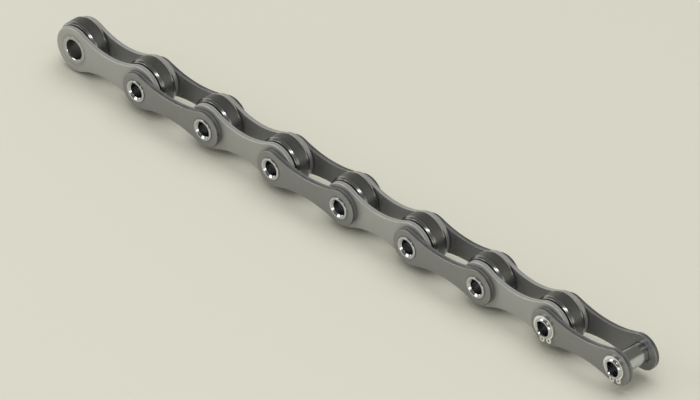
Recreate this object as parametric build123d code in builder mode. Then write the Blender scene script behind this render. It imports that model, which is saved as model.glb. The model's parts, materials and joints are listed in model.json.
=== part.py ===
"""Hollow pin conveyor chain: eight links in a straight run, inner and outer links by turns.

The chain runs along X and its pins lie along Y. Positions 1 to 9 are the joints, from the open
inner link at -X to the open outer link at +X, and link n joins position n to position n + 1.
Odd links are inner links: two plates pressed on two bushes, with a roller free on each bush.
Even links are outer links: two plates on two hollow pins. The last link is the connecting link,
whose front plate slips on its pins and is held by circlips. The origin is in the middle of the
middle pin. Front means the -Y side.
"""

import os
from math import atan2, cos, radians, sin

from build123d import *

os.makedirs("parts", exist_ok=True)

# Driving dimensions, in millimetres.
pitch = 50.0
link_count = 8

inner_width = 10.6  # clear width between the inner plates
inner_plate_thickness = 2.5
inner_plate_depth = 25.8  # height of the plate over its round ends
inner_waist_depth = 14.0  # height of the plate halfway between its holes
outer_plate_thickness = 3.0
outer_plate_depth = 20.8
outer_waist_depth = 12.0
plate_edge_bevel = 0.7  # outline edge on the outward side of the blanked plates

pin_diameter = 11.4
pin_bore = 8.2
pin_head_height = 0.7  # riveted end, proud of the outer plate
pin_head_spread = 0.6  # how far the riveted end is spread over the plate, in radius
pin_mouth_chamfer = 1.0  # bore of a riveted end
clip_end_length = 2.2  # pin end proud of the connecting link's front plate
clip_end_chamfer = 0.5  # outside of a clipped end
clip_mouth_length = 0.7  # bore of a clipped end, along the pin
clip_mouth_depth = 0.4

bush_wall = 2.2
bush_proud = 0.15  # bush end proud of the inner plate
bush_mouth_chamfer = 0.4

roller_diameter = 28.6
roller_edge_length = 1.2  # chamfer beside the tread, along the roller
roller_edge_depth = 0.7

circlip_thickness = 1.0
circlip_back_width = 1.9  # section of the ring opposite its gap
circlip_lug_width = 1.3  # section of the ring beside its lugs
circlip_gap = 1.2
circlip_turn = 12.0  # degrees, gap turned from straight down towards +X
circlip_lug_radius = 1.75
circlip_lug_hole = 1.2
circlip_groove_depth = 0.35

# Fits and clearances, in millimetres.
pin_clearance = 0.05  # radial, pin in bush
roller_clearance = 0.08  # radial, roller on bush
roller_side_clearance = 0.6  # each side, roller to inner plate
link_side_clearance = 0.25  # each side, bush end to outer plate
slip_clearance = 0.03  # radial, connecting plate on its pins
groove_clearance = 0.05  # each side of a circlip in its groove

# Sizes that follow from them.
half_pitch = pitch / 2
half_inner = inner_width / 2
inner_face = half_inner + inner_plate_thickness  # outside of the inner link
bush_end = inner_face + bush_proud
outer_inside = bush_end + link_side_clearance
outer_face = outer_inside + outer_plate_thickness  # outside of the outer link
pin_end = outer_face + pin_head_height
pin_head_bevel = pin_head_height / 2
clip_pin_end = outer_face + clip_end_length
pin_radius = pin_diameter / 2
bore_radius = pin_bore / 2
bush_inside = pin_radius + pin_clearance
bush_radius = bush_inside + bush_wall
roller_inside = bush_radius + roller_clearance
roller_radius = roller_diameter / 2
roller_half_width = half_inner - roller_side_clearance
groove_radius = pin_radius - circlip_groove_depth
groove_start = outer_face + groove_clearance
groove_end = groove_start + circlip_thickness + 2 * groove_clearance
middle_position = link_count / 2 + 1


def position_x(position):
    """X of a joint position, counted from 1."""
    return (position - middle_position) * pitch


def side_plane(x, y, turn=0):
    """Plane square to the pins at Y = y, seen from the front: +X to the right and +Z up.

    Its axes are turned anticlockwise by turn, in degrees.
    """
    right = (cos(radians(turn)), 0, sin(radians(turn)))
    return Plane(origin=(x, y, 0), x_dir=right, z_dir=(0, -1, 0))


def lengthwise_plane(x):
    """Horizontal plane through a joint's axis: its X is the radius and its Y runs along the pin."""
    return Plane(origin=(x, 0, 0), x_dir=(1, 0, 0), z_dir=(0, 0, 1))


def write(part, label):
    """Label one finished piece and write its STEP file."""
    part.label = label
    export_step(part, f"parts/{label}.step")


def waisted_plate(middle_x, y, thickness, depth, waist_depth, hole_radius):
    """Figure-of-eight plate from Y = y to y + thickness, with a hole half a pitch each side."""
    end_radius = depth / 2
    waist = waist_depth / 2
    # The waist is one arc that touches both end circles.
    waist_radius = (half_pitch**2 + waist**2 - end_radius**2) / (2 * (end_radius - waist))
    tangent_angle = atan2(waist + waist_radius, half_pitch)
    tangent_x = half_pitch - end_radius * cos(tangent_angle)
    tangent_z = end_radius * sin(tangent_angle)
    end_x = half_pitch + end_radius
    with BuildPart() as plate:
        with BuildSketch(side_plane(middle_x, y)):
            with BuildLine():
                ThreePointArc((-tangent_x, tangent_z), (0, waist), (tangent_x, tangent_z))
                ThreePointArc((tangent_x, tangent_z), (end_x, 0), (tangent_x, -tangent_z))
                mirror(about=Plane.XZ)
                mirror(about=Plane.YZ)
            make_face()
        extrude(amount=-thickness)
        sides = plate.faces().filter_by(Axis.Y).sort_by(Axis.Y)
        outward_side = sides[-1] if y > 0 else sides[0]
        chamfer(outward_side.edges(), plate_edge_bevel)
        with BuildSketch(side_plane(middle_x, y)):
            with Locations((-half_pitch, 0), (half_pitch, 0)):
                Circle(hole_radius)
        extrude(amount=-thickness, mode=Mode.SUBTRACT)
    return plate.part


def make_inner_plates():
    """Two plates for each odd link."""
    for link in range(1, link_count + 1, 2):
        middle = position_x(link) + half_pitch
        for side, y in (("front", -inner_face), ("back", half_inner)):
            plate = waisted_plate(
                middle, y, inner_plate_thickness, inner_plate_depth, inner_waist_depth, bush_radius
            )
            write(plate, f"inner_plate_{side}_{link}")


def make_outer_plates():
    """Two plates for each even link. The last link's front plate slips on its pins."""
    for link in range(2, link_count + 1, 2):
        middle = position_x(link) + half_pitch
        for side, y in (("front", -outer_face), ("back", outer_inside)):
            slips = side == "front" and link == link_count
            hole_radius = pin_radius + (slip_clearance if slips else 0)
            plate = waisted_plate(
                middle, y, outer_plate_thickness, outer_plate_depth, outer_waist_depth, hole_radius
            )
            write(plate, f"outer_plate_{side}_{link}")


def make_bushes():
    """A plain tube pressed through both inner plates, with chamfered mouths."""
    for position in range(1, link_count + 1):
        x = position_x(position)
        with BuildPart() as bush:
            with BuildSketch(side_plane(x, -bush_end)):
                Circle(bush_radius)
                Circle(bush_inside, mode=Mode.SUBTRACT)
            extrude(amount=-2 * bush_end)
            mouths = bush.edges().filter_by(GeomType.CIRCLE).group_by(SortBy.RADIUS)[0]
            chamfer(mouths, bush_mouth_chamfer)
        write(bush.part, f"bush_{position}")


def make_rollers():
    """A large roller with chamfered tread edges, free to turn on its bush."""
    for position in range(1, link_count + 1):
        x = position_x(position)
        with BuildPart() as roller:
            with BuildSketch(lengthwise_plane(x)):
                with BuildLine():
                    Polyline(
                        (roller_inside, 0),
                        (roller_inside, roller_half_width),
                        (roller_radius - roller_edge_depth, roller_half_width),
                        (roller_radius, roller_half_width - roller_edge_length),
                        (roller_radius, 0),
                        close=True,
                    )
                make_face()
                mirror(about=Plane.XZ)
            revolve(axis=Axis((x, 0, 0), (0, 1, 0)))
        write(roller.part, f"roller_{position}")


def make_riveted_pins():
    """Hollow pins of the riveted outer links, with both ends spread over the plates."""
    for position in range(2, link_count):
        with BuildPart() as pin:
            with BuildSketch(lengthwise_plane(position_x(position))) as section:
                with BuildLine():
                    Polyline(
                        (bore_radius, 0),
                        (pin_radius, 0),
                        (pin_radius, outer_face),
                        (pin_radius + pin_head_spread, outer_face),
                        (pin_radius + pin_head_spread, pin_end),
                        (bore_radius, pin_end),
                        close=True,
                    )
                make_face()
                mirror(about=Plane.XZ)
                corners = section.vertices().group_by(Axis.Y)
                ends = corners[0] + corners[-1]
                chamfer(ends.group_by(Axis.X)[-1], pin_head_bevel)
                chamfer(ends.group_by(Axis.X)[0], pin_mouth_chamfer)
            revolve(axis=Axis((position_x(position), 0, 0), (0, 1, 0)))
        write(pin.part, f"pin_{position}")


def make_clip_pins():
    """Hollow pins of the connecting link: back end spread, front end grooved for a circlip."""
    for position in (link_count, link_count + 1):
        with BuildPart() as pin:
            with BuildSketch(lengthwise_plane(position_x(position))) as section:
                with BuildLine():
                    Polyline(
                        (bore_radius, pin_end),
                        (bore_radius, clip_mouth_length - clip_pin_end),
                        (bore_radius + clip_mouth_depth, -clip_pin_end),
                        (pin_radius - clip_end_chamfer, -clip_pin_end),
                        (pin_radius, clip_end_chamfer - clip_pin_end),
                        (pin_radius, -groove_end),
                        (groove_radius, -groove_end),
                        (groove_radius, -groove_start),
                        (pin_radius, -groove_start),
                        (pin_radius, outer_face),
                        (pin_radius + pin_head_spread, outer_face),
                        (pin_radius + pin_head_spread, pin_end),
                        close=True,
                    )
                make_face()
                back_end = section.vertices().group_by(Axis.Y)[-1].sort_by(Axis.X)
                chamfer(back_end[-1], pin_head_bevel)
                chamfer(back_end[0], pin_mouth_chamfer)
            revolve(axis=Axis((position_x(position), 0, 0), (0, 1, 0)))
        write(pin.part, f"pin_{position}")


def make_circlips():
    """External circlip on each front end of the connecting link's pins, gap near the bottom."""
    ring_radius = groove_radius + (circlip_back_width + circlip_lug_width) / 2
    ring_rise = (circlip_back_width - circlip_lug_width) / 2
    lug_x = circlip_gap / 2 + circlip_lug_radius
    lug_z = -(groove_radius + circlip_lug_width)
    front = -(groove_start + groove_clearance + circlip_thickness)
    for position in (link_count, link_count + 1):
        with BuildPart() as circlip:
            with BuildSketch(side_plane(position_x(position), front, circlip_turn)):
                with Locations((0, ring_rise)):
                    Circle(ring_radius)
                with Locations((-lug_x, lug_z), (lug_x, lug_z)):
                    Circle(circlip_lug_radius)
                Circle(groove_radius, mode=Mode.SUBTRACT)
                with Locations((0, lug_z)):
                    Rectangle(circlip_gap, 2 * ring_radius, mode=Mode.SUBTRACT)
                with Locations((-lug_x, lug_z), (lug_x, lug_z)):
                    Circle(circlip_lug_hole / 2, mode=Mode.SUBTRACT)
            extrude(amount=-circlip_thickness)
        write(circlip.part, f"circlip_{position}")


make_inner_plates()
make_outer_plates()
make_bushes()
make_rollers()
make_riveted_pins()
make_clip_pins()
make_circlips()
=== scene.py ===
"""Finishes a roller conveyor chain: blanked plates, ground bushes, turned rollers and hollow pins.

The packed model gives the chain's frame: joints in a straight row along X, pins along Y, Z up.
Lengths are in metres. A joint's number counts from 1 at the -X end, and front is the -Y side.
"""

import json
from math import cos, pi, radians, sin

import bmesh
import bpy
import numpy as np
from bpy.props import FloatProperty, FloatVectorProperty, PointerProperty
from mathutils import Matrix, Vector


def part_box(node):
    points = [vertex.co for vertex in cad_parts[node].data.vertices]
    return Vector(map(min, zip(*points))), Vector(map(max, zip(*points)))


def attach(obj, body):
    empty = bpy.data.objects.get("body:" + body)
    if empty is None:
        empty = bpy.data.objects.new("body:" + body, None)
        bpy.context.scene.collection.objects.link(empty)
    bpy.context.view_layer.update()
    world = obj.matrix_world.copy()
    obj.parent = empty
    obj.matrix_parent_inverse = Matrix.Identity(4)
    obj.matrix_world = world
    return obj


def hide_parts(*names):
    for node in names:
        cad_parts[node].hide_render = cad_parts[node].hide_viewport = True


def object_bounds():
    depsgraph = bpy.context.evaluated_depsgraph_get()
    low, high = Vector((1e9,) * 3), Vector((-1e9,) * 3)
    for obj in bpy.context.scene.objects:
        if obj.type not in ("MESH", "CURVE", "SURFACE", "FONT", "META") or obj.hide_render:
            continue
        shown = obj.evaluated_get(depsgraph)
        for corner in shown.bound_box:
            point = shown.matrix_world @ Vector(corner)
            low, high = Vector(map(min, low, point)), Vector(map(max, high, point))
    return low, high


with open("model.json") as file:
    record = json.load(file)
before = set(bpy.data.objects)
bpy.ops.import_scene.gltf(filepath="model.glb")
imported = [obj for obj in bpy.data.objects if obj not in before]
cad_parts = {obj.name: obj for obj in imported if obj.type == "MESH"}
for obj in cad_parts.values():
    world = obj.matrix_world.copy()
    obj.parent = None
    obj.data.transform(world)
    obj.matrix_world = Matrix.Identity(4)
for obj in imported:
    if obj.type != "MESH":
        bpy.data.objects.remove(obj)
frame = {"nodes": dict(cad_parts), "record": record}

bl_info = {
    "name": "Conveyor Chain Finish",
    "version": (1, 0, 0),
    "blender": (4, 5, 0),
    "location": "3D View > Sidebar > Chain",
    "description": "Builds and finishes the visible pieces of a roller conveyor chain",
    "category": "Object",
}

MM = 0.001


# --- Sizes read from the packed model ------------------------------------------------------


def plain(box):
    """A box's two corners as lists that JSON can hold."""
    return [list(corner) for corner in box]


def settled(length):
    """A length to the nearest hundredth of a millimetre, as a faceted circle falls just short."""
    return round(length / (0.01 * MM)) * 0.01 * MM


def joint_number(node):
    """The number that a node's name ends in."""
    return int(node.rsplit("_", 1)[1])


def nodes_named(stem):
    """The nodes whose names start with stem, in the order of their numbers."""
    return sorted((name for name in frame["nodes"] if name.startswith(stem)), key=joint_number)


def middle(node):
    """Middle of a node's box."""
    low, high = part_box(node)
    return (low + high) / 2


def half_size(node):
    """Half of a node's length, width and height."""
    low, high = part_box(node)
    return Vector([settled(side / 2) for side in high - low])


def body_holding(node):
    """The body that a node belongs to."""
    bodies = frame["record"]["behaviour"]["bodies"]
    return next(body for body, members in bodies.items() if node in members)


def stated_bore(mount):
    """Radius of a bore that the record states."""
    found = next(m for m in frame["record"]["mounts"] if m["name"] == mount)
    return found["dims"]["r_mm"] * MM


CAD_BOX = plain(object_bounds())
FLOOR_LEVEL = CAD_BOX[0][2]
PITCH = settled(middle("roller_2").x - middle("roller_1").x)

BUSH = half_size("bush_1")
BUSH_BORE = stated_bore("open_bush_bore")
ROLLER = half_size("roller_1")
ROLLER_CLEARANCE = 0.08 * MM
PIN_BORE = stated_bore("pin_bore_2")
PIN_CLEARANCE = 0.05 * MM
PIN_RADIUS = BUSH_BORE - PIN_CLEARANCE
PIN_HEAD = half_size("pin_2")
OUTER_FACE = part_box("outer_plate_back_2")[1].y
CLIP_END = -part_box("pin_8")[0].y
CLIP_FRONT, CLIP_BACK = (-corner.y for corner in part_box("circlip_8"))
CLIP_GROOVE_DEPTH = 0.35 * MM
CLIP_GROOVE_SLACK = 0.05 * MM


# --- Surfaces ------------------------------------------------------------------------------

SAME_POINT = 0.001 * MM  # points nearer than this count as one
NO_LENGTH = 0.0001 * MM  # a side of a section shorter than this is left out
BORE_SEGMENTS = 96
ROLLER_SEGMENTS = 144
CORNER_STEPS = 4  # of the arc on each corner of a turned section
WAIST_POINTS = 22  # of half a plate's waist
END_POINTS = 72  # of the round end
SEAM_STEPS = 8  # across the plate where its two halves meet
FACE_STEPS = 9  # of a face, from the hole to the outline
ROUND_STEPS = 5  # of each quarter round on the rim
FACE_AREA_WEIGHT = 90  # how much more a large face counts in the shading than a small one


def lattice_faces(rows, columns, first=0, close_rows=False, close_columns=False):
    """Corner numbers of the four-sided faces of a lattice numbered row by row from first."""
    numbers = first + np.arange(rows * columns).reshape(rows, columns)
    if close_rows:
        numbers = np.vstack([numbers, numbers[:1]])
    if close_columns:
        numbers = np.hstack([numbers, numbers[:, :1]])
    sides = (numbers[:-1, :-1], numbers[:-1, 1:], numbers[1:, 1:], numbers[1:, :-1])
    return np.stack(sides, axis=-1).reshape(-1, 4)


def surface_mesh(name, points, faces):
    """Mesh of four-sided faces from whole arrays."""
    mesh = bpy.data.meshes.new(name)
    mesh.vertices.add(len(points))
    mesh.vertices.foreach_set("co", points.astype(np.float32).ravel())
    mesh.loops.add(faces.size)
    mesh.loops.foreach_set("vertex_index", faces.astype(np.int32).ravel())
    mesh.polygons.add(len(faces))
    mesh.polygons.foreach_set("loop_start", np.arange(0, faces.size, 4, dtype=np.int32))
    mesh.update(calc_edges=True)
    return mesh


def sew(mesh):
    """Merges the points that two patches share and turns every face outwards."""
    solid = bmesh.new()
    solid.from_mesh(mesh)
    bmesh.ops.remove_doubles(solid, verts=solid.verts, dist=SAME_POINT)
    bmesh.ops.recalc_face_normals(solid, faces=solid.faces)
    solid.to_mesh(mesh)
    solid.free()


def points_of(mesh):
    """A mesh's points as one array."""
    found = np.empty(3 * len(mesh.vertices), np.float32)
    mesh.vertices.foreach_get("co", found)
    return found.reshape(-1, 3).astype(float)


def store(mesh, name, values):
    """Keeps one value, or one vector, for each point under a name that materials read."""
    kind, field = ("FLOAT", "value") if values.ndim == 1 else ("FLOAT_VECTOR", "vector")
    kept = mesh.attributes.new(name, kind, "POINT")
    kept.data.foreach_set(field, values.astype(np.float32).ravel())


def rounded_section(corners):
    """Closed outline in (radius, y) whose corners are arcs, ready to be turned round a joint.

    Each row of corners is radius, y and rounding. With unit vectors a and b towards the two
    neighbours and the angle q between them, the arc touches the sides rounding / tan(q / 2)
    from the corner, and its centre is rounding / sin(q / 2) from it along a + b.
    Returns the points and each point's distance along the outline from the nearest corner.
    """
    corners = np.asarray(corners, float)
    at, rounding = corners[:, :2], corners[:, 2]
    back = np.roll(at, 1, axis=0) - at
    ahead = np.roll(at, -1, axis=0) - at
    back /= np.linalg.norm(back, axis=1)[:, None]
    ahead /= np.linalg.norm(ahead, axis=1)[:, None]
    half_angle = np.arccos(np.clip((back * ahead).sum(1), -1, 1)) / 2
    bisector = back + ahead
    bisector /= np.linalg.norm(bisector, axis=1)[:, None]
    centre = at + bisector * (rounding / np.sin(half_angle))[:, None]
    reach = (rounding / np.tan(half_angle))[:, None]
    start = at + back * reach - centre
    end = at + ahead * reach - centre
    from_angle = np.arctan2(start[:, 1], start[:, 0])
    sweep = (np.arctan2(end[:, 1], end[:, 0]) - from_angle + pi) % (2 * pi) - pi
    share = np.linspace(0, 1, CORNER_STEPS + 1)
    turn = from_angle[:, None] + sweep[:, None] * share
    arcs = centre[:, None] + rounding[:, None, None] * np.stack([np.cos(turn), np.sin(turn)], -1)
    # Each side also gets a point at its middle, so that distances from its ends stay true.
    side_middle = (arcs[:, -1] + np.roll(arcs[:, 0], -1, axis=0)) / 2
    outline = np.concatenate([arcs, side_middle[:, None]], axis=1).reshape(-1, 2)
    span = np.linalg.norm(np.roll(outline, -1, axis=0) - outline, axis=1)
    along = np.cumsum(span) - span
    corner_along = along.reshape(len(corners), -1)[:, CORNER_STEPS // 2]
    gap = np.abs(along[:, None] - corner_along)
    edge = np.minimum(gap, span.sum() - gap).min(1)
    apart = span > NO_LENGTH
    return outline[apart], along[apart], edge[apart]


def turned_mesh(name, x, corners, segments):
    """A section carried round the joint's axis at x: point (x + r cos t, y, r sin t).

    It stores three fields: edge, the distance from the nearest corner; polar, the vector
    (R cos t, R sin t, s), where R is the section's mean radius and s the distance along it; and
    depth, how far a point of the bore's wall is from the nearer end of that wall.
    """
    section, along, edge = rounded_section(corners)
    turn = np.linspace(0, 2 * pi, segments, endpoint=False)
    radius, y = section[:, :1], section[:, 1:]
    flat = np.ones(segments)
    points = np.stack([x + radius * np.cos(turn), y * flat, radius * np.sin(turn)], axis=-1)
    faces = lattice_faces(len(section), segments, close_rows=True, close_columns=True)
    mesh = surface_mesh(name, points.reshape(-1, 3), faces)
    sew(mesh)
    mean_radius = section[:, 0].mean()
    polar = np.broadcast_arrays(
        mean_radius * np.cos(turn), mean_radius * np.sin(turn), along[:, None] * flat
    )
    store(mesh, "polar", np.stack(polar, axis=-1).reshape(-1, 3))
    store(mesh, "edge", np.repeat(edge, segments))
    on_wall = section[:, 0] < section[:, 0].min() + SAME_POINT
    wall_y = section[on_wall, 1]
    depth = np.minimum(section[:, 1] - wall_y.min(), wall_y.max() - section[:, 1])
    store(mesh, "depth", np.repeat(np.where(on_wall, depth, 0), segments))
    return mesh


class PlateForm:
    """The measures of one waisted plate, read from its node and from the link's settings."""

    def __init__(self, node, waist_depth, hole_radius, outward_round, inward_round):
        low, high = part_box(node)
        size = half_size(node)
        self.middle = middle(node).x
        self.hole_x = PITCH / 2
        self.end_radius = size.x - self.hole_x
        self.waist = waist_depth / 2
        self.hole_radius = hole_radius
        self.outward = 1 if middle(node).y > 0 else -1
        self.outer_y, self.inner_y = (high.y, low.y) if self.outward > 0 else (low.y, high.y)
        self.outward_round = outward_round
        self.inward_round = inward_round
        # The waist is one arc that touches both end circles.
        square = self.hole_x**2 + self.waist**2 - self.end_radius**2
        self.waist_radius = square / (2 * (self.end_radius - self.waist))
        self.waist_z = self.waist + self.waist_radius
        self.touch = np.arctan2(self.waist_z, self.hole_x)

    def outline(self, inset):
        """Half of the outline moved inwards by inset, from the waist over one end and back.

        The end is the circle of radius R - inset about the hole. The waist is the arc of radius
        W + inset about (0, w + W), where w is half the waist's depth and
        W = (h^2 + w^2 - R^2) / (2 (R - w)) makes it touch the circle, h being half the pitch.
        """
        waist_turn = np.linspace(-pi / 2, -self.touch, WAIST_POINTS)[:-1]
        end_turn = np.linspace(pi - self.touch, self.touch - pi, END_POINTS)
        reach = self.waist_radius + inset
        waist_x, waist_z = reach * np.cos(waist_turn), self.waist_z + reach * np.sin(waist_turn)
        waist = np.stack([waist_x, waist_z], axis=1)
        radius = self.end_radius - inset
        end_x, end_z = self.hole_x + radius * np.cos(end_turn), radius * np.sin(end_turn)
        end = np.stack([end_x, end_z], axis=1)
        return np.concatenate([waist, end, waist[::-1] * (1, -1)])

    def face_rim(self, inset):
        """The outline's half closed by the seam at the plate's middle, where x is 0."""
        half = self.outline(inset)
        seam = np.linspace(half[-1], half[0], SEAM_STEPS + 1)[1:-1]
        return np.concatenate([half, seam])

    def face(self, inset, y, hole_radius):
        """Straight rays from the hole's circle to the outline's half, cut into even steps."""
        rim = self.face_rim(inset)
        hole = np.array([self.hole_x, 0])
        away = rim - hole
        start = hole + away * (hole_radius / np.linalg.norm(away, axis=1))[:, None]
        share = np.linspace(0, 1, FACE_STEPS + 1)[:, None, None]
        flat = start + share * (rim - start)
        return np.stack([flat[..., 0], np.full(flat.shape[:2], y), flat[..., 1]], axis=-1)

    def rim(self):
        """The outline's half carried over the plate's edge: two quarter rounds and a band."""
        turn = np.linspace(0, pi / 2, ROUND_STEPS + 1)
        over, under = self.outward_round, self.inward_round
        inset = np.concatenate([over * (1 - np.sin(turn)), under * (1 - np.cos(turn))])
        outer_y = self.outer_y - self.outward * over * (1 - np.cos(turn))
        inner_y = self.inner_y + self.outward * under * (1 - np.sin(turn))
        y = np.concatenate([outer_y, inner_y])
        loops = np.stack([self.outline(depth) for depth in inset])
        across = np.broadcast_to(y[:, None], loops.shape[:2])
        return np.stack([loops[..., 0], across, loops[..., 1]], axis=-1)

    def bore(self, edge_break):
        """The hole's wall, with its two edges broken."""
        rim = self.face_rim(0) - (self.hole_x, 0)
        turn = np.arctan2(rim[:, 1], rim[:, 0])
        inwards = -self.outward * edge_break
        radius = self.hole_radius + np.array([edge_break, 0, 0, edge_break])[:, None]
        y = [self.outer_y, self.outer_y + inwards, self.inner_y - inwards, self.inner_y]
        across = np.broadcast_to(np.array(y)[:, None], (4, len(turn)))
        x, z = self.hole_x + radius * np.cos(turn), radius * np.sin(turn)
        return np.stack([x, across, z], axis=-1)

    def fields(self, points):
        """What the finish reads at each point.

        edge is the distance from the nearest corner of the outline, seat the distance from the
        hole, and band how far over the rounding a point lies, from 0 on a face to 1 on the rim.
        """
        x = np.abs(points[:, 0] - self.middle)
        y = points[:, 1]
        z = np.abs(points[:, 2])
        from_hole = np.hypot(x - self.hole_x, z)
        on_end = np.arctan2(z, x - self.hole_x) <= pi - self.touch
        to_end = np.where(on_end, self.end_radius - from_hole, np.inf)
        to_waist = np.hypot(x, z - self.waist_z) - self.waist_radius
        to_outline = np.maximum(np.minimum(to_end, to_waist), 0)
        to_face = np.minimum(np.abs(y - self.outer_y), np.abs(y - self.inner_y))
        rounding = max(self.outward_round, self.inward_round)
        return {
            "edge": np.hypot(to_outline, to_face),
            "seat": from_hole - self.hole_radius,
            "band": np.clip(1 - to_outline / rounding, 0, 1),
        }


def plate_mesh(name, form, edge_break):
    """A waisted plate of four patches a half: two faces, the rim and the hole's wall."""
    hole_mouth = form.hole_radius + edge_break
    half = [
        (form.face(form.outward_round, form.outer_y, hole_mouth), True),
        (form.face(form.inward_round, form.inner_y, hole_mouth), True),
        (form.rim(), False),
        (form.bore(edge_break), True),
    ]
    points, faces, count = [], [], 0
    for side in (1, -1):
        for patch, closed in half:
            rows, columns = patch.shape[:2]
            faces.append(lattice_faces(rows, columns, count, close_columns=closed))
            points.append(patch.reshape(-1, 3) * (side, 1, 1) + (form.middle, 0, 0))
            count += rows * columns
    mesh = surface_mesh(name, np.concatenate(points), np.concatenate(faces))
    sew(mesh)
    for label, values in form.fields(points_of(mesh)).items():
        store(mesh, label, values)
    return mesh


def both_ends(back, front):
    """Corners of a whole section from those of its two ends, each given as if at the back."""
    return back + [(radius, -y, rounding) for radius, y, rounding in reversed(front)]


def fit_piece(mesh, node, material):
    """Puts a finished surface in its node's place, on its body, with its material."""
    mesh.shade_smooth()
    mesh.materials.append(material)
    piece = bpy.data.objects.new(mesh.name, mesh)
    bpy.context.scene.collection.objects.link(piece)
    even = piece.modifiers.new("Even shading", "WEIGHTED_NORMAL")
    even.weight = FACE_AREA_WEIGHT
    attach(piece, body_holding(node))
    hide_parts(node)


# --- Nodes that several finishes share -----------------------------------------------------

COLUMN_WIDTH = 180
GROUP_END_COLUMN = 16
SHADER_COLUMN = 30
OUTPUT_COLUMN = 32

# A Mix node's sockets by number. Each kind has its own two inputs and its own result.
MIX_FACTOR = 0
MIX_SOCKETS = {"FLOAT": (2, 3, 0), "RGBA": (6, 7, 2)}


def place(tree, kind, inputs=None, **settings):
    """Adds a node. Each input, by name or number, takes a value or another node's output."""
    node = tree.nodes.new("ShaderNode" + kind)
    node.location.x = COLUMN_WIDTH * len(tree.nodes)
    for key, value in settings.items():
        setattr(node, key, value)
    for key, value in (inputs or {}).items():
        if isinstance(value, bpy.types.NodeSocket):
            tree.links.new(value, node.inputs[key])
        else:
            node.inputs[key].default_value = value
    return node


def maths(tree, operation, *values, clamp=False):
    """Result of a Math node on values or outputs."""
    node = place(tree, "Math", dict(enumerate(values)), operation=operation, use_clamp=clamp)
    return node.outputs[0]


def plus_share(tree, value, mask, amount):
    """A value with a share of a mask added, or taken away where the amount is negative."""
    return maths(tree, "ADD", value, maths(tree, "MULTIPLY", mask, amount))


def spread(tree, value, source, target, smooth=False):
    """A value carried from its source range to its target range and held inside it."""
    labels = ("Value", "From Min", "From Max", "To Min", "To Max")
    inputs = dict(zip(labels, (value, *source, *target)))
    kind = "SMOOTHSTEP" if smooth else "LINEAR"
    return place(tree, "MapRange", inputs, interpolation_type=kind).outputs["Result"]


def mixed(tree, factor, first, second, kind="RGBA", blend="MIX"):
    """Two colours, or two values, blended by a factor."""
    input_a, input_b, result = MIX_SOCKETS[kind]
    inputs = {MIX_FACTOR: factor, input_a: first, input_b: second}
    node = place(tree, "Mix", inputs, data_type=kind, blend_type=blend)
    return node.outputs[result]


def noise(tree, vector, scale, detail, roughness):
    """Noise of a scale, counted in features a metre."""
    inputs = {"Vector": vector, "Scale": scale, "Detail": detail, "Roughness": roughness}
    return place(tree, "TexNoise", inputs).outputs["Fac"]


def stretched(tree, vector, x=1.0, y=1.0, z=1.0, turn=(0, 0, 0)):
    """A vector turned and scaled, so that a pattern on it is drawn out along one way."""
    inputs = {"Vector": vector, "Scale": (x, y, z), "Rotation": turn}
    return place(tree, "Mapping", inputs).outputs["Vector"]


def field(tree, name, output="Fac"):
    """A value that the piece's mesh holds for each point."""
    return place(tree, "Attribute", attribute_name=name).outputs[output]


def new_group(name, inputs, outputs):
    """An empty node group with its inputs and outputs. Returns it with its two end nodes."""
    group = bpy.data.node_groups.new(name, "ShaderNodeTree")
    kinds = {float: "NodeSocketFloat", Vector: "NodeSocketVector"}
    for label, kind in inputs.items():
        group.interface.new_socket(label, in_out="INPUT", socket_type=kinds[kind])
    for label, kind in outputs.items():
        group.interface.new_socket(label, in_out="OUTPUT", socket_type=kinds[kind])
    entry = group.nodes.new("NodeGroupInput")
    leave = group.nodes.new("NodeGroupOutput")
    leave.location.x = GROUP_END_COLUMN * COLUMN_WIDTH
    return group, entry.outputs, leave.inputs


def edge_wear_and_highlight_group():
    """Wear and painted highlight: 1 on a corner, fading out at a ragged distance from it."""
    inputs = {"Edge": float, "Coordinates": Vector, "Width": float, "Raggedness": float}
    group, given, out = new_group("Edge Wear And Highlight", inputs, {"Wear": float})
    broad = noise(group, given["Coordinates"], scale=260, detail=3.0, roughness=0.6)
    swing = maths(group, "MULTIPLY", maths(group, "SUBTRACT", broad, 0.5), given["Raggedness"])
    reach = maths(group, "MULTIPLY", given["Width"], maths(group, "ADD", 1.0, swing))
    share = maths(group, "DIVIDE", given["Edge"], reach)
    wear_and_highlight = spread(group, share, (0.15, 1.0), (1.0, 0.0), smooth=True)
    group.links.new(wear_and_highlight, out["Wear"])
    return group


def steel_grain_group():
    """Grain: fine tumbled texture. Cloud: broad patches. Streak: faint lines of rolling."""
    inputs = {"Coordinates": Vector, "Grain Scale": float, "Cloud Scale": float}
    outputs = {"Grain": float, "Cloud": float, "Streak": float}
    group, given, out = new_group("Steel Grain", inputs, outputs)
    at = given["Coordinates"]
    grain = noise(group, at, given["Grain Scale"], detail=4.0, roughness=0.65)
    cloud = noise(group, at, given["Cloud Scale"], detail=3.0, roughness=0.55)
    rolled = stretched(group, at, x=0.06)
    streak = noise(group, rolled, given["Grain Scale"], detail=2.0, roughness=0.5)
    group.links.new(grain, out["Grain"])
    group.links.new(cloud, out["Cloud"])
    group.links.new(streak, out["Streak"])
    return group


def turning_group():
    """Lines: tool marks round a turned piece. Runout: how they come and go round the turn."""
    inputs = {"Polar": Vector, "Feed": float}
    group, given, out = new_group("Turning Marks", inputs, {"Lines": float, "Runout": float})
    rings = stretched(group, given["Polar"], x=0.02, y=0.02)
    per_metre = maths(group, "DIVIDE", 1.0, given["Feed"])
    lines = noise(group, rings, per_metre, detail=3.0, roughness=0.7)
    slow = stretched(group, given["Polar"], z=4.0)
    runout = noise(group, slow, scale=120, detail=2.0, roughness=0.5)
    group.links.new(lines, out["Lines"])
    group.links.new(runout, out["Runout"])
    return group


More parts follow.
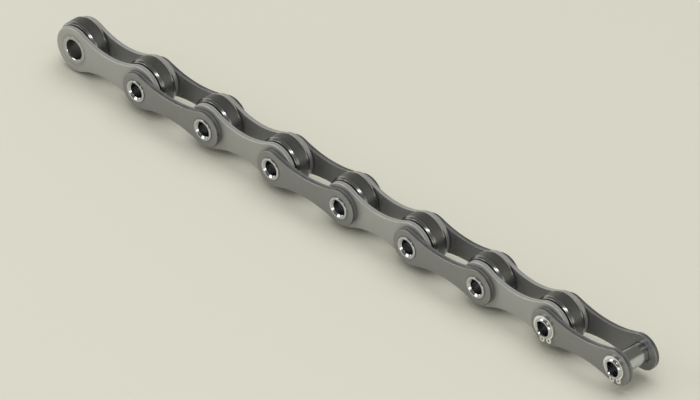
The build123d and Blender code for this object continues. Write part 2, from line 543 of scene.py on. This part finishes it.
def scratch_group():
    """Scratches: thin short lines that cross in two ways, where two stretched noises peak."""
    inputs = {"Coordinates": Vector, "Scale": float}
    group, given, out = new_group("Scratches", inputs, {"Scratches": float})
    found = []
    for turn in (radians(24), radians(-38)):
        drawn = stretched(group, given["Coordinates"], x=0.05, turn=(0, turn, 0))
        lines = noise(group, drawn, given["Scale"], detail=1.0, roughness=0.4)
        found.append(spread(group, lines, (0.66, 0.72), (0.0, 1.0)))
    group.links.new(maths(group, "MAXIMUM", *found), out["Scratches"])
    return group


BUILDERS = {
    "Edge Wear And Highlight": edge_wear_and_highlight_group,
    "Steel Grain": steel_grain_group,
    "Turning Marks": turning_group,
    "Scratches": scratch_group,
}


def shared(tree, name, **inputs):
    """Places a shared group in a material, building it the first time."""
    group = bpy.data.node_groups.get(name) or BUILDERS[name]()
    named = {key.replace("_", " "): value for key, value in inputs.items()}
    return place(tree, "Group", named, node_tree=group).outputs


# --- Finishes ------------------------------------------------------------------------------


def new_material(name, metallic=1.0, **shader_values):
    """A material with an empty shader. Returns it, its node tree and the shader's node."""
    material = bpy.data.materials.new(name)
    material.use_nodes = True
    tree = material.node_tree
    tree.nodes.clear()
    shader = place(tree, "BsdfPrincipled", {"Metallic": metallic})
    for key, value in shader_values.items():
        shader.inputs[key.replace("_", " ").title()].default_value = value
    out = place(tree, "OutputMaterial", {"Surface": shader.outputs["BSDF"]})
    shader.location.x = SHADER_COLUMN * COLUMN_WIDTH
    out.location.x = OUTPUT_COLUMN * COLUMN_WIDTH
    return material, tree, shader


def shaded(colour, factor):
    """A colour made lighter or darker, with its alpha."""
    return (*(min(1.0, part * factor) for part in colour), 1.0)


def marked(tree, colour, mask, strength, mark):
    """A colour that turns to the mark's where a mask says, as far as strength."""
    return mixed(tree, maths(tree, "MULTIPLY", mask, strength), colour, mark)


def corner_wear_and_highlight(tree, at, width, raggedness):
    """Wear and painted highlight along corners, as wide as width and as uneven as raggedness."""
    edge = field(tree, "edge")
    sizes = {"Width": width, "Raggedness": raggedness}
    return shared(tree, "Edge Wear And Highlight", Edge=edge, Coordinates=at, **sizes)["Wear"]


def connect(tree, shader, colour, roughness, height, depth):
    """Feeds a shader its colour, roughness and a bump as deep as depth."""
    tree.links.new(colour, shader.inputs["Base Color"])
    tree.links.new(roughness, shader.inputs["Roughness"])
    bump = place(tree, "Bump", {"Height": height, "Distance": depth, "Strength": 1.0})
    tree.links.new(bump.outputs["Normal"], shader.inputs["Normal"])


def plate_steel(name, settings, plain, plain_roughness, metallic, rim_painted_shade):
    """Tumbled plate: satin face, faint rolling streaks, sheared rim in painted shade, bright
    corners.

    Oil darkens the face round each hole. Each plate is a little lighter or darker than the next.
    """
    material, tree, shader = new_material(name, metallic)
    at = place(tree, "TexCoord").outputs["Object"]
    steel = shared(tree, "Steel Grain", Coordinates=at, Grain_Scale=2600.0, Cloud_Scale=75.0)
    wear_and_highlight = corner_wear_and_highlight(tree, at, settings.wear_width, raggedness=1.2)
    scratches = shared(tree, "Scratches", Coordinates=at, Scale=900.0)["Scratches"]
    # The rim's shear marks run straight through the plate.
    shear_marks = noise(tree, stretched(tree, at, y=0.04), scale=2200, detail=2.0, roughness=0.6)
    band = field(tree, "band")
    # The rim's mask, where the rim takes a darker copy of the colour: painted shade.
    rim = spread(tree, band, (0.35, 0.9), (0.0, 1.0), smooth=True)
    oil = spread(tree, field(tree, "seat"), (0.2 * MM, 2.6 * MM), (0.35, 0.0), smooth=True)
    tone = spread(tree, field(tree, "tone"), (-1.0, 1.0), (0.96, 1.04))
    tint = place(tree, "CombineColor", dict.fromkeys(("Red", "Green", "Blue"), tone))

    colour = mixed(tree, steel["Cloud"], shaded(plain, 0.90), shaded(plain, 1.08))
    colour = mixed(tree, 1.0, colour, tint.outputs["Color"], blend="MULTIPLY")
    # Painted shade: the rim turns to a darker copy of the plate's colour.
    colour = mixed(tree, rim, colour, shaded(plain, rim_painted_shade))
    # Wear and painted highlight: a lighter copy of the colour along each corner.
    colour = marked(tree, colour, wear_and_highlight, 0.55, shaded(plain, 1.5))
    colour = mixed(tree, oil, colour, shaded(plain, 0.55))
    colour = marked(tree, colour, scratches, 0.12, shaded(plain, 1.4))

    low, high = plain_roughness - 0.09, plain_roughness + 0.10
    roughness = spread(tree, steel["Cloud"], (0.0, 1.0), (low, high))
    roughness = plus_share(tree, roughness, wear_and_highlight, -0.10)
    roughness = plus_share(tree, roughness, oil, -0.25)
    roughness = plus_share(tree, roughness, band, 0.05)

    face_relief = plus_share(tree, steel["Grain"], steel["Streak"], 0.5)
    rim_relief = maths(tree, "MULTIPLY", shear_marks, 2.5)
    relief = mixed(tree, band, face_relief, rim_relief, kind="FLOAT")
    relief = plus_share(tree, relief, scratches, -0.4)
    connect(tree, shader, colour, roughness, relief, depth=0.012 * MM)
    return material


def turned_steel(name, settings, feed, relief_depth, wear_and_highlight_shade, bore_painted_shade):
    """Turned or ground steel: rings left by the tool, a thin oil film and bright corners.

    The feed is the distance between two rings. Near a corner the surface is ground finer, and
    deeper in the bore it takes the bore's painted shade.
    """
    material, tree, shader = new_material(name)
    at = place(tree, "TexCoord").outputs["Object"]
    polar = field(tree, "polar", "Vector")
    turning = shared(tree, "Turning Marks", Polar=polar, Feed=feed)
    steel = shared(tree, "Steel Grain", Coordinates=at, Grain_Scale=3000.0, Cloud_Scale=110.0)
    wear_and_highlight = corner_wear_and_highlight(tree, at, settings.wear_width, raggedness=1.4)
    scratches = shared(tree, "Scratches", Coordinates=at, Scale=1100.0)["Scratches"]
    ringed = spread(tree, turning["Lines"], (0.3, 0.7), (0.0, 0.25))
    # Painted shade: down the bore's wall the colour turns to a darker copy of itself.
    painted_bore_shade = spread(tree, field(tree, "depth"), (0.0, 1.5 * MM), (0.0, 0.5), smooth=True)

    plain = settings.colour
    colour = mixed(tree, steel["Cloud"], shaded(plain, 0.86), shaded(plain, 1.12))
    colour = mixed(tree, ringed, colour, shaded(plain, 1.35))
    # Wear and painted highlight: corners and scratches take a lighter copy of the colour.
    colour = marked(tree, colour, wear_and_highlight, 0.6, shaded(plain, wear_and_highlight_shade))
    colour = marked(tree, colour, scratches, 0.15, shaded(plain, wear_and_highlight_shade))
    colour = mixed(tree, painted_bore_shade, colour, shaded(plain, bore_painted_shade))

    low, high = settings.roughness - 0.04, settings.roughness + 0.06
    roughness = spread(tree, turning["Lines"], (0.2, 0.8), (low, high), smooth=True)
    film = spread(tree, turning["Runout"], (0.25, 0.75), (-0.04, 0.05), smooth=True)
    roughness = maths(tree, "ADD", roughness, film)
    ground = (settings.ground, settings.ground + 0.3 * MM)
    finer = spread(tree, field(tree, "edge"), ground, (0.45, 1.0))
    roughness = maths(tree, "MULTIPLY", roughness, finer)
    roughness = plus_share(tree, roughness, wear_and_highlight, -0.04)

    relief = maths(tree, "MULTIPLY", turning["Lines"], turning["Runout"])
    relief = plus_share(tree, relief, steel["Grain"], 0.25)
    relief = plus_share(tree, relief, scratches, -0.3)
    connect(tree, shader, colour, roughness, relief, relief_depth)
    return material


def spring_steel(settings):
    """Stamped spring steel: bright faces with a fine grain that follows the strip."""
    material, tree, shader = new_material("Bright spring steel")
    at = place(tree, "TexCoord").outputs["Object"]
    steel = shared(tree, "Steel Grain", Coordinates=at, Grain_Scale=3500.0, Cloud_Scale=300.0)
    scratches = shared(tree, "Scratches", Coordinates=at, Scale=1500.0)["Scratches"]
    plain = settings.colour
    colour = mixed(tree, steel["Cloud"], shaded(plain, 0.9), shaded(plain, 1.08))
    colour = marked(tree, colour, scratches, 0.2, shaded(plain, 0.7))
    low, high = settings.roughness - 0.08, settings.roughness + 0.10
    roughness = spread(tree, steel["Streak"], (0.0, 1.0), (low, high))
    connect(tree, shader, colour, roughness, steel["Grain"], depth=0.006 * MM)
    return material


# --- Settings a user would change ----------------------------------------------------------


def length_setting(name, description, default, lowest=0.0):
    """A length shown in the scene's units."""
    return FloatProperty(
        name=name, description=description, default=default, min=lowest, unit="LENGTH", precision=5
    )


def colour_setting(name, description, default):
    """A linear colour."""
    return FloatVectorProperty(
        name=name, description=description, default=default, size=3, min=0, max=1, subtype="COLOR"
    )


def share_setting(name, description, default):
    """A number from 0 to 1."""
    return FloatProperty(
        name=name, description=description, default=default, min=0, max=1, subtype="FACTOR"
    )


class PlateSettings(bpy.types.PropertyGroup):
    """Form and finish of the blanked plates."""

    inner_waist: length_setting("Inner waist", "Depth of an inner plate at its middle", 14.0 * MM)
    outer_waist: length_setting("Outer waist", "Depth of an outer plate at its middle", 12.0 * MM)
    outward_round: length_setting("Outward round", "Rounding of the outward corner", 0.7 * MM)
    inward_round: length_setting("Inward round", "Rounding of the inward corner", 0.15 * MM)
    hole_break: length_setting("Hole edge", "Chamfer on both edges of each hole", 0.15 * MM)
    inner_colour: colour_setting("Inner colour", "Tumbled steel", (0.43, 0.43, 0.42))
    inner_roughness: share_setting("Inner roughness", "Roughness of inner plates", 0.46)
    outer_colour: colour_setting("Outer colour", "Heat-treated steel", (0.265, 0.265, 0.265))
    outer_roughness: share_setting("Outer roughness", "Roughness of outer plates", 0.32)
    inner_metallic: share_setting("Inner metallic", "Share of bare metal, inner plates", 0.62)
    outer_metallic: share_setting("Outer metallic", "Share of bare metal, outer plates", 0.55)
    # Painted shade: how dark each kind of plate's rim is painted beside its face.
    inner_rim_painted_shade: share_setting("Inner rim", "Colour of an inner plate's rim beside its face's", 1.0)
    outer_rim_painted_shade: share_setting("Outer rim", "Colour of an outer plate's rim beside its face's", 0.35)
    wear_width: length_setting("Wear width", "How far from a corner the wear reaches", 0.8 * MM)


class RollerSettings(bpy.types.PropertyGroup):
    """Form and finish of the turned rollers."""

    edge_length: length_setting("Edge length", "Chamfer beside the tread, along it", 1.2 * MM)
    edge_depth: length_setting("Edge depth", "Chamfer beside the tread, in radius", 0.7 * MM)
    corner_round: length_setting("Corner round", "Rounding left on every corner", 0.12 * MM)
    colour: colour_setting("Colour", "Hardened, darkened steel", (0.245, 0.245, 0.255))
    roughness: share_setting("Roughness", "Roughness of the tread", 0.5)
    ground: length_setting("Ground edge", "How far from a corner the finish is finer", 0.75 * MM)
    wear_width: length_setting("Wear width", "How far from a corner the wear reaches", 0.7 * MM)


class BushSettings(bpy.types.PropertyGroup):
    """Form and finish of the ground bushes."""

    mouth_chamfer: length_setting("Mouth chamfer", "Chamfer of the bore", 0.4 * MM)
    corner_round: length_setting("Corner round", "Rounding left on every corner", 0.12 * MM)
    colour: colour_setting("Colour", "Ground steel", (0.44, 0.44, 0.45))
    roughness: share_setting("Roughness", "Roughness of the ends and bore", 0.38)
    ground: length_setting("Ground edge", "How far from a corner the finish is finer", 0.3 * MM)
    wear_width: length_setting("Wear width", "How far from a corner the wear reaches", 0.4 * MM)


class PinSettings(bpy.types.PropertyGroup):
    """Form and finish of the hollow pins."""

    mouth_chamfer: length_setting("Mouth chamfer", "Chamfer of the bore", 1.0 * MM)
    end_chamfer: length_setting("End chamfer", "Outside of a grooved end", 0.5 * MM)
    end_mouth_length: length_setting("End mouth length", "Grooved end's bore, along it", 0.7 * MM)
    end_mouth_depth: length_setting("End mouth depth", "Grooved end's bore, in radius", 0.4 * MM)
    corner_round: length_setting("Corner round", "Rounding left on every corner", 0.12 * MM)
    colour: colour_setting("Colour", "Ground steel", (0.53, 0.54, 0.56))
    roughness: share_setting("Roughness", "Roughness of the ground surface", 0.16)
    ground: length_setting("Ground edge", "How far from a corner the finish is finer", 0.6 * MM)
    wear_width: length_setting("Wear width", "How far from a corner the wear reaches", 0.3 * MM)


class ClipSettings(bpy.types.PropertyGroup):
    """Finish of the circlips."""

    colour: colour_setting("Colour", "Bright spring steel", (0.95, 0.94, 0.92))
    roughness: share_setting("Roughness", "Roughness of the ring", 0.2)


class StageSettings(bpy.types.PropertyGroup):
    """Floor, light and camera."""

    floor_colour: colour_setting("Floor", "Pale matt floor", (0.66, 0.65, 0.55))
    sky_colour: colour_setting("Backdrop", "Pale backdrop", (0.66, 0.65, 0.55))
    ceiling: share_setting("Ceiling", "Brightness of the backdrop overhead", 0.3)
    ambient: share_setting("Ambient light", "Strength of the even light from all sides", 0.4)
    key_strength: FloatProperty(
        name="Key light", description="Strength of the main light", default=1.65, min=0
    )
    azimuth: FloatProperty(
        name="Azimuth",
        description="Turn of the camera round the chain; 0 looks along +Y",
        default=radians(45),
        subtype="ANGLE",
    )
    elevation: FloatProperty(
        name="Elevation",
        description="Height of the camera above the horizon",
        default=radians(35.264),
        subtype="ANGLE",
    )
    lens: FloatProperty(
        name="Lens", description="Focal length in millimetres", default=900, min=50
    )
    view_width: length_setting(
        "View width", "Width of the view where the chain lies", 0.36308, lowest=0.01
    )
    aim_right: length_setting(
        "Aim right", "How far right of the origin the camera aims", -1.94 * MM, lowest=-1
    )
    aim_up: length_setting(
        "Aim up", "How far above the origin the camera aims", -0.36 * MM, lowest=-1
    )


SETTINGS = {
    "chain_plates": PlateSettings,
    "chain_rollers": RollerSettings,
    "chain_bushes": BushSettings,
    "chain_pins": PinSettings,
    "chain_clips": ClipSettings,
    "chain_stage": StageSettings,
}


# --- Pieces --------------------------------------------------------------------------------

TONE_SEED = 7
TONES = np.random.default_rng(TONE_SEED)
CLIPPED_JOINTS = {joint_number(node) for node in nodes_named("circlip_")}


class CHAIN_OT_plates(bpy.types.Operator):
    """Build the inner plates round the bushes and the outer plates round the pins"""

    bl_idname = "chain.plates"
    bl_label = "Plates"

    def execute(self, context):
        settings = context.scene.chain_plates
        inner = plate_steel(
            "Tumbled plate steel",
            settings,
            settings.inner_colour,
            settings.inner_roughness,
            settings.inner_metallic,
            settings.inner_rim_painted_shade,
        )
        outer = plate_steel(
            "Heat-treated plate steel",
            settings,
            settings.outer_colour,
            settings.outer_roughness,
            settings.outer_metallic,
            settings.outer_rim_painted_shade,
        )
        kinds = (
            ("inner_plate_", settings.inner_waist, BUSH.x, inner),
            ("outer_plate_", settings.outer_waist, PIN_RADIUS, outer),
        )
        for stem, waist, hole_radius, material in kinds:
            for node in nodes_named(stem):
                form = PlateForm(
                    node, waist, hole_radius, settings.outward_round, settings.inward_round
                )
                mesh = plate_mesh("blanked_" + node, form, settings.hole_break)
                store(mesh, "tone", np.full(len(mesh.vertices), TONES.uniform(-1, 1)))
                fit_piece(mesh, node, material)
        return {"FINISHED"}


class CHAIN_OT_bushes(bpy.types.Operator):
    """Build the ground bushes that hold each pair of inner plates"""

    bl_idname = "chain.bushes"
    bl_label = "Bushes"

    def execute(self, context):
        settings = context.scene.chain_bushes
        # Painted shade: the bush's bore is given a far darker copy of its colour.
        material = turned_steel(
            "Ground bush steel",
            settings,
            feed=0.35 * MM,
            relief_depth=0.006 * MM,
            wear_and_highlight_shade=1.5,
            bore_painted_shade=0.1,
        )
        mouth, rounding = settings.mouth_chamfer, settings.corner_round
        end = [
            (BUSH_BORE, BUSH.y - mouth, rounding),
            (BUSH_BORE + mouth, BUSH.y, rounding),
            (BUSH.x, BUSH.y, rounding),
        ]
        section = both_ends(end, end)
        for node in nodes_named("bush_"):
            mesh = turned_mesh("ground_" + node, middle(node).x, section, BORE_SEGMENTS)
            fit_piece(mesh, node, material)
        return {"FINISHED"}


class CHAIN_OT_rollers(bpy.types.Operator):
    """Build the turned rollers that run on the bushes"""

    bl_idname = "chain.rollers"
    bl_label = "Rollers"

    def execute(self, context):
        settings = context.scene.chain_rollers
        # Painted highlight: the chamfers take a far lighter copy of the colour, besides wear.
        material = turned_steel(
            "Hardened roller steel",
            settings,
            feed=0.5 * MM,
            relief_depth=0.008 * MM,
            wear_and_highlight_shade=2.4,
            bore_painted_shade=1.0,
        )
        rounding = settings.corner_round
        end = [
            (BUSH.x + ROLLER_CLEARANCE, ROLLER.y, rounding),
            (ROLLER.x - settings.edge_depth, ROLLER.y, rounding),
            (ROLLER.x, ROLLER.y - settings.edge_length, rounding),
        ]
        section = both_ends(end, end)
        for node in nodes_named("roller_"):
            mesh = turned_mesh("turned_" + node, middle(node).x, section, ROLLER_SEGMENTS)
            fit_piece(mesh, node, material)
        return {"FINISHED"}


def riveted_end(settings):
    """Corners of a pin's spread end, from its bore outwards."""
    head_round = (PIN_HEAD.y - OUTER_FACE) / 2
    mouth, rounding = settings.mouth_chamfer, settings.corner_round
    return [
        (PIN_BORE, PIN_HEAD.y - mouth, rounding),
        (PIN_BORE + mouth, PIN_HEAD.y, rounding),
        (PIN_HEAD.x, PIN_HEAD.y, head_round),
        (PIN_HEAD.x, OUTER_FACE, rounding),
        (PIN_RADIUS, OUTER_FACE, 0.0),
    ]


def grooved_end(settings):
    """Corners of a pin's end with a groove for a circlip, from its bore outwards."""
    end, rounding = settings.end_chamfer, settings.corner_round
    groove = PIN_RADIUS - CLIP_GROOVE_DEPTH
    groove_front, groove_back = CLIP_FRONT + CLIP_GROOVE_SLACK, CLIP_BACK - CLIP_GROOVE_SLACK
    return [
        (PIN_BORE, CLIP_END - settings.end_mouth_length, rounding),
        (PIN_BORE + settings.end_mouth_depth, CLIP_END, rounding),
        (PIN_RADIUS - end, CLIP_END, rounding),
        (PIN_RADIUS, CLIP_END - end, rounding),
        (PIN_RADIUS, groove_front, 0.0),
        (groove, groove_front, 0.0),
        (groove, groove_back, 0.0),
        (PIN_RADIUS, groove_back, 0.0),
    ]


class CHAIN_OT_pins(bpy.types.Operator):
    """Build the hollow pins: riveted at both ends, or grooved in front on the connecting link"""

    bl_idname = "chain.pins"
    bl_label = "Pins"

    def execute(self, context):
        settings = context.scene.chain_pins
        # Painted shade in the bore, and wear with painted highlight on the corners.
        material = turned_steel(
            "Bright pin steel",
            settings,
            feed=0.3 * MM,
            relief_depth=0.005 * MM,
            wear_and_highlight_shade=1.3,
            bore_painted_shade=0.8,
        )
        riveted, grooved = riveted_end(settings), grooved_end(settings)
        for node in nodes_named("pin_"):
            front = grooved if joint_number(node) in CLIPPED_JOINTS else riveted
            section = both_ends(riveted, front)
            mesh = turned_mesh("hollow_" + node, middle(node).x, section, BORE_SEGMENTS)
            fit_piece(mesh, node, material)
        return {"FINISHED"}


class CHAIN_OT_circlips(bpy.types.Operator):
    """Finish the circlips of the connecting link"""

    bl_idname = "chain.circlips"
    bl_label = "Circlips"

    def execute(self, context):
        material = spring_steel(context.scene.chain_clips)
        for node in nodes_named("circlip_"):
            for slot in frame["nodes"][node].material_slots:
                slot.material = material
        return {"FINISHED"}


# --- Stage ---------------------------------------------------------------------------------

FLOOR_REACH = 12.0
KEY_AZIMUTH, KEY_ELEVATION = radians(-150), radians(74)
KEY_WIDTH = radians(64)  # how much of the sky the main light fills
KEY_DISTANCE = 3.0
PANEL_DISTANCE = 2.0
CAMERA_SIGHT = 30.0  # how far the camera sees

# Azimuth and elevation in degrees, width, height and radiance of each soft panel.
PANELS = {
    "left_panel": (-50, 32, 0.9, 0.9, 2.2),
    "right_panel": (40, 2, 0.75, 0.75, 2.2),
    "front_panel": (46, 54, 0.7, 0.3, 5.0),
}


def direction(azimuth, elevation):
    """Unit vector towards a place in the sky; azimuth 0 is -Y and a quarter turn is +X."""
    level = cos(elevation)
    return Vector((sin(azimuth) * level, -cos(azimuth) * level, sin(elevation)))


def aimed(name, data, towards, distance):
    """Puts a lamp or camera at a distance in a direction, looking back at the chain."""
    item = bpy.data.objects.new(name, data)
    bpy.context.scene.collection.objects.link(item)
    item.location = towards * distance
    item.rotation_euler = (-towards).to_track_quat("-Z", "Y").to_euler()
    return item


def soft_panel(name, towards, width, height, radiance):
    """A soft rectangular lamp. Its power makes the panel itself as bright as radiance."""
    lamp = bpy.data.lights.new(name, "AREA")
    lamp.shape = "RECTANGLE"
    lamp.size, lamp.size_y = width, height
    lamp.energy = radiance * pi * width * height
    aimed(name, lamp, towards, PANEL_DISTANCE)


class CHAIN_OT_stage(bpy.types.Operator):
    """Lay the floor, set the light and place the camera"""

    bl_idname = "chain.stage"
    bl_label = "Stage"

    def execute(self, context):
        settings = context.scene.chain_stage
        self.lay_floor(settings)
        self.set_world(context.scene, settings)
        self.set_lamps(settings)
        self.set_camera(context.scene, settings)
        context.scene.view_settings.view_transform = "Standard"
        return {"FINISHED"}

    def lay_floor(self, settings):
        """A square floor that the chain lies on."""
        corners = FLOOR_REACH * np.array([(-1, -1), (1, -1), (1, 1), (-1, 1)])
        level = np.full((4, 1), FLOOR_LEVEL)
        mesh = surface_mesh("floor", np.hstack([corners, level]), np.array([[0, 1, 2, 3]]))
        material, _, shader = new_material("Matt floor", metallic=0.0, roughness=0.9)
        shader.inputs["Specular IOR Level"].default_value = 0.0
        shader.inputs["Base Color"].default_value = (*settings.floor_colour, 1.0)
        mesh.materials.append(material)
        floor = bpy.data.objects.new("floor", mesh)
        bpy.context.scene.collection.objects.link(floor)

    def set_world(self, scene, settings):
        """Even light, and a backdrop that cameras and reflections see, darker overhead."""
        world = bpy.data.worlds.new("Studio")
        world.use_nodes = True
        tree = world.node_tree
        tree.nodes.clear()
        path = place(tree, "LightPath").outputs
        seen = maths(tree, "ADD", path["Is Camera Ray"], path["Is Glossy Ray"])
        seen = maths(tree, "ADD", seen, path["Is Transmission Ray"], clamp=True)
        light = place(tree, "Background", {"Color": (1, 1, 1, 1), "Strength": settings.ambient})
        way = place(tree, "TexCoord").outputs["Generated"]
        height = place(tree, "SeparateXYZ", {"Vector": way}).outputs["Z"]
        share = spread(tree, height, (0.2, 0.5), (1.0, settings.ceiling), smooth=True)
        sky = {"Color": (*settings.sky_colour, 1.0), "Strength": share}
        backdrop = place(tree, "Background", sky)
        shaders = (seen, light.outputs[0], backdrop.outputs[0])
        both = place(tree, "MixShader", dict(enumerate(shaders)))
        place(tree, "OutputWorld", {"Surface": both.outputs[0]})
        scene.world = world

    def set_lamps(self, settings):
        """A wide main light from above and behind, and panels for the steel to reflect."""
        key = bpy.data.lights.new("key", "SUN")
        key.energy = settings.key_strength
        key.angle = KEY_WIDTH
        lamp = aimed("key", key, direction(KEY_AZIMUTH, KEY_ELEVATION), KEY_DISTANCE)
        lamp.visible_glossy = False
        for name, (azimuth, elevation, width, height, radiance) in PANELS.items():
            towards = direction(radians(azimuth), radians(elevation))
            soft_panel(name, towards, width, height, radiance)

    def set_camera(self, scene, settings):
        """A long lens, so far off that the view hardly narrows with distance."""
        data = bpy.data.cameras.new("camera")
        data.lens = settings.lens
        data.clip_end = CAMERA_SIGHT
        towards = direction(settings.azimuth, settings.elevation)
        distance = settings.view_width * data.lens / data.sensor_width
        camera = aimed("camera", data, towards, distance)
        right = Vector((cos(settings.azimuth), sin(settings.azimuth), 0))
        up = towards.cross(right)
        camera.location += settings.aim_right * right + settings.aim_up * up
        scene.camera = camera


# --- Add-on --------------------------------------------------------------------------------

OPERATORS = (
    CHAIN_OT_plates,
    CHAIN_OT_bushes,
    CHAIN_OT_rollers,
    CHAIN_OT_pins,
    CHAIN_OT_circlips,
    CHAIN_OT_stage,
)


class CHAIN_PT_finish(bpy.types.Panel):
    """Lists the chain's operators and their settings"""

    bl_label = "Conveyor Chain"
    bl_idname = "CHAIN_PT_finish"
    bl_space_type = "VIEW_3D"
    bl_region_type = "UI"
    bl_category = "Chain"

    def draw(self, context):
        for operator in OPERATORS:
            self.layout.operator(operator.bl_idname)
        for name, kind in SETTINGS.items():
            box = self.layout.box()
            box.label(text=kind.__doc__)
            for label in kind.__annotations__:
                box.prop(getattr(context.scene, name), label)


def register():
    for kind in (*SETTINGS.values(), *OPERATORS, CHAIN_PT_finish):
        bpy.utils.register_class(kind)
    for name, kind in SETTINGS.items():
        setattr(bpy.types.Scene, name, PointerProperty(type=kind))


def unregister():
    for name in SETTINGS:
        delattr(bpy.types.Scene, name)
    for kind in (CHAIN_PT_finish, *reversed(OPERATORS), *reversed(SETTINGS.values())):
        bpy.utils.unregister_class(kind)


def main():
    """Builds every piece and sets the stage."""
    register()
    bpy.ops.chain.plates()
    bpy.ops.chain.bushes()
    bpy.ops.chain.rollers()
    bpy.ops.chain.pins()
    bpy.ops.chain.circlips()
    bpy.ops.chain.stage()


if __name__ == "__main__":
    main()
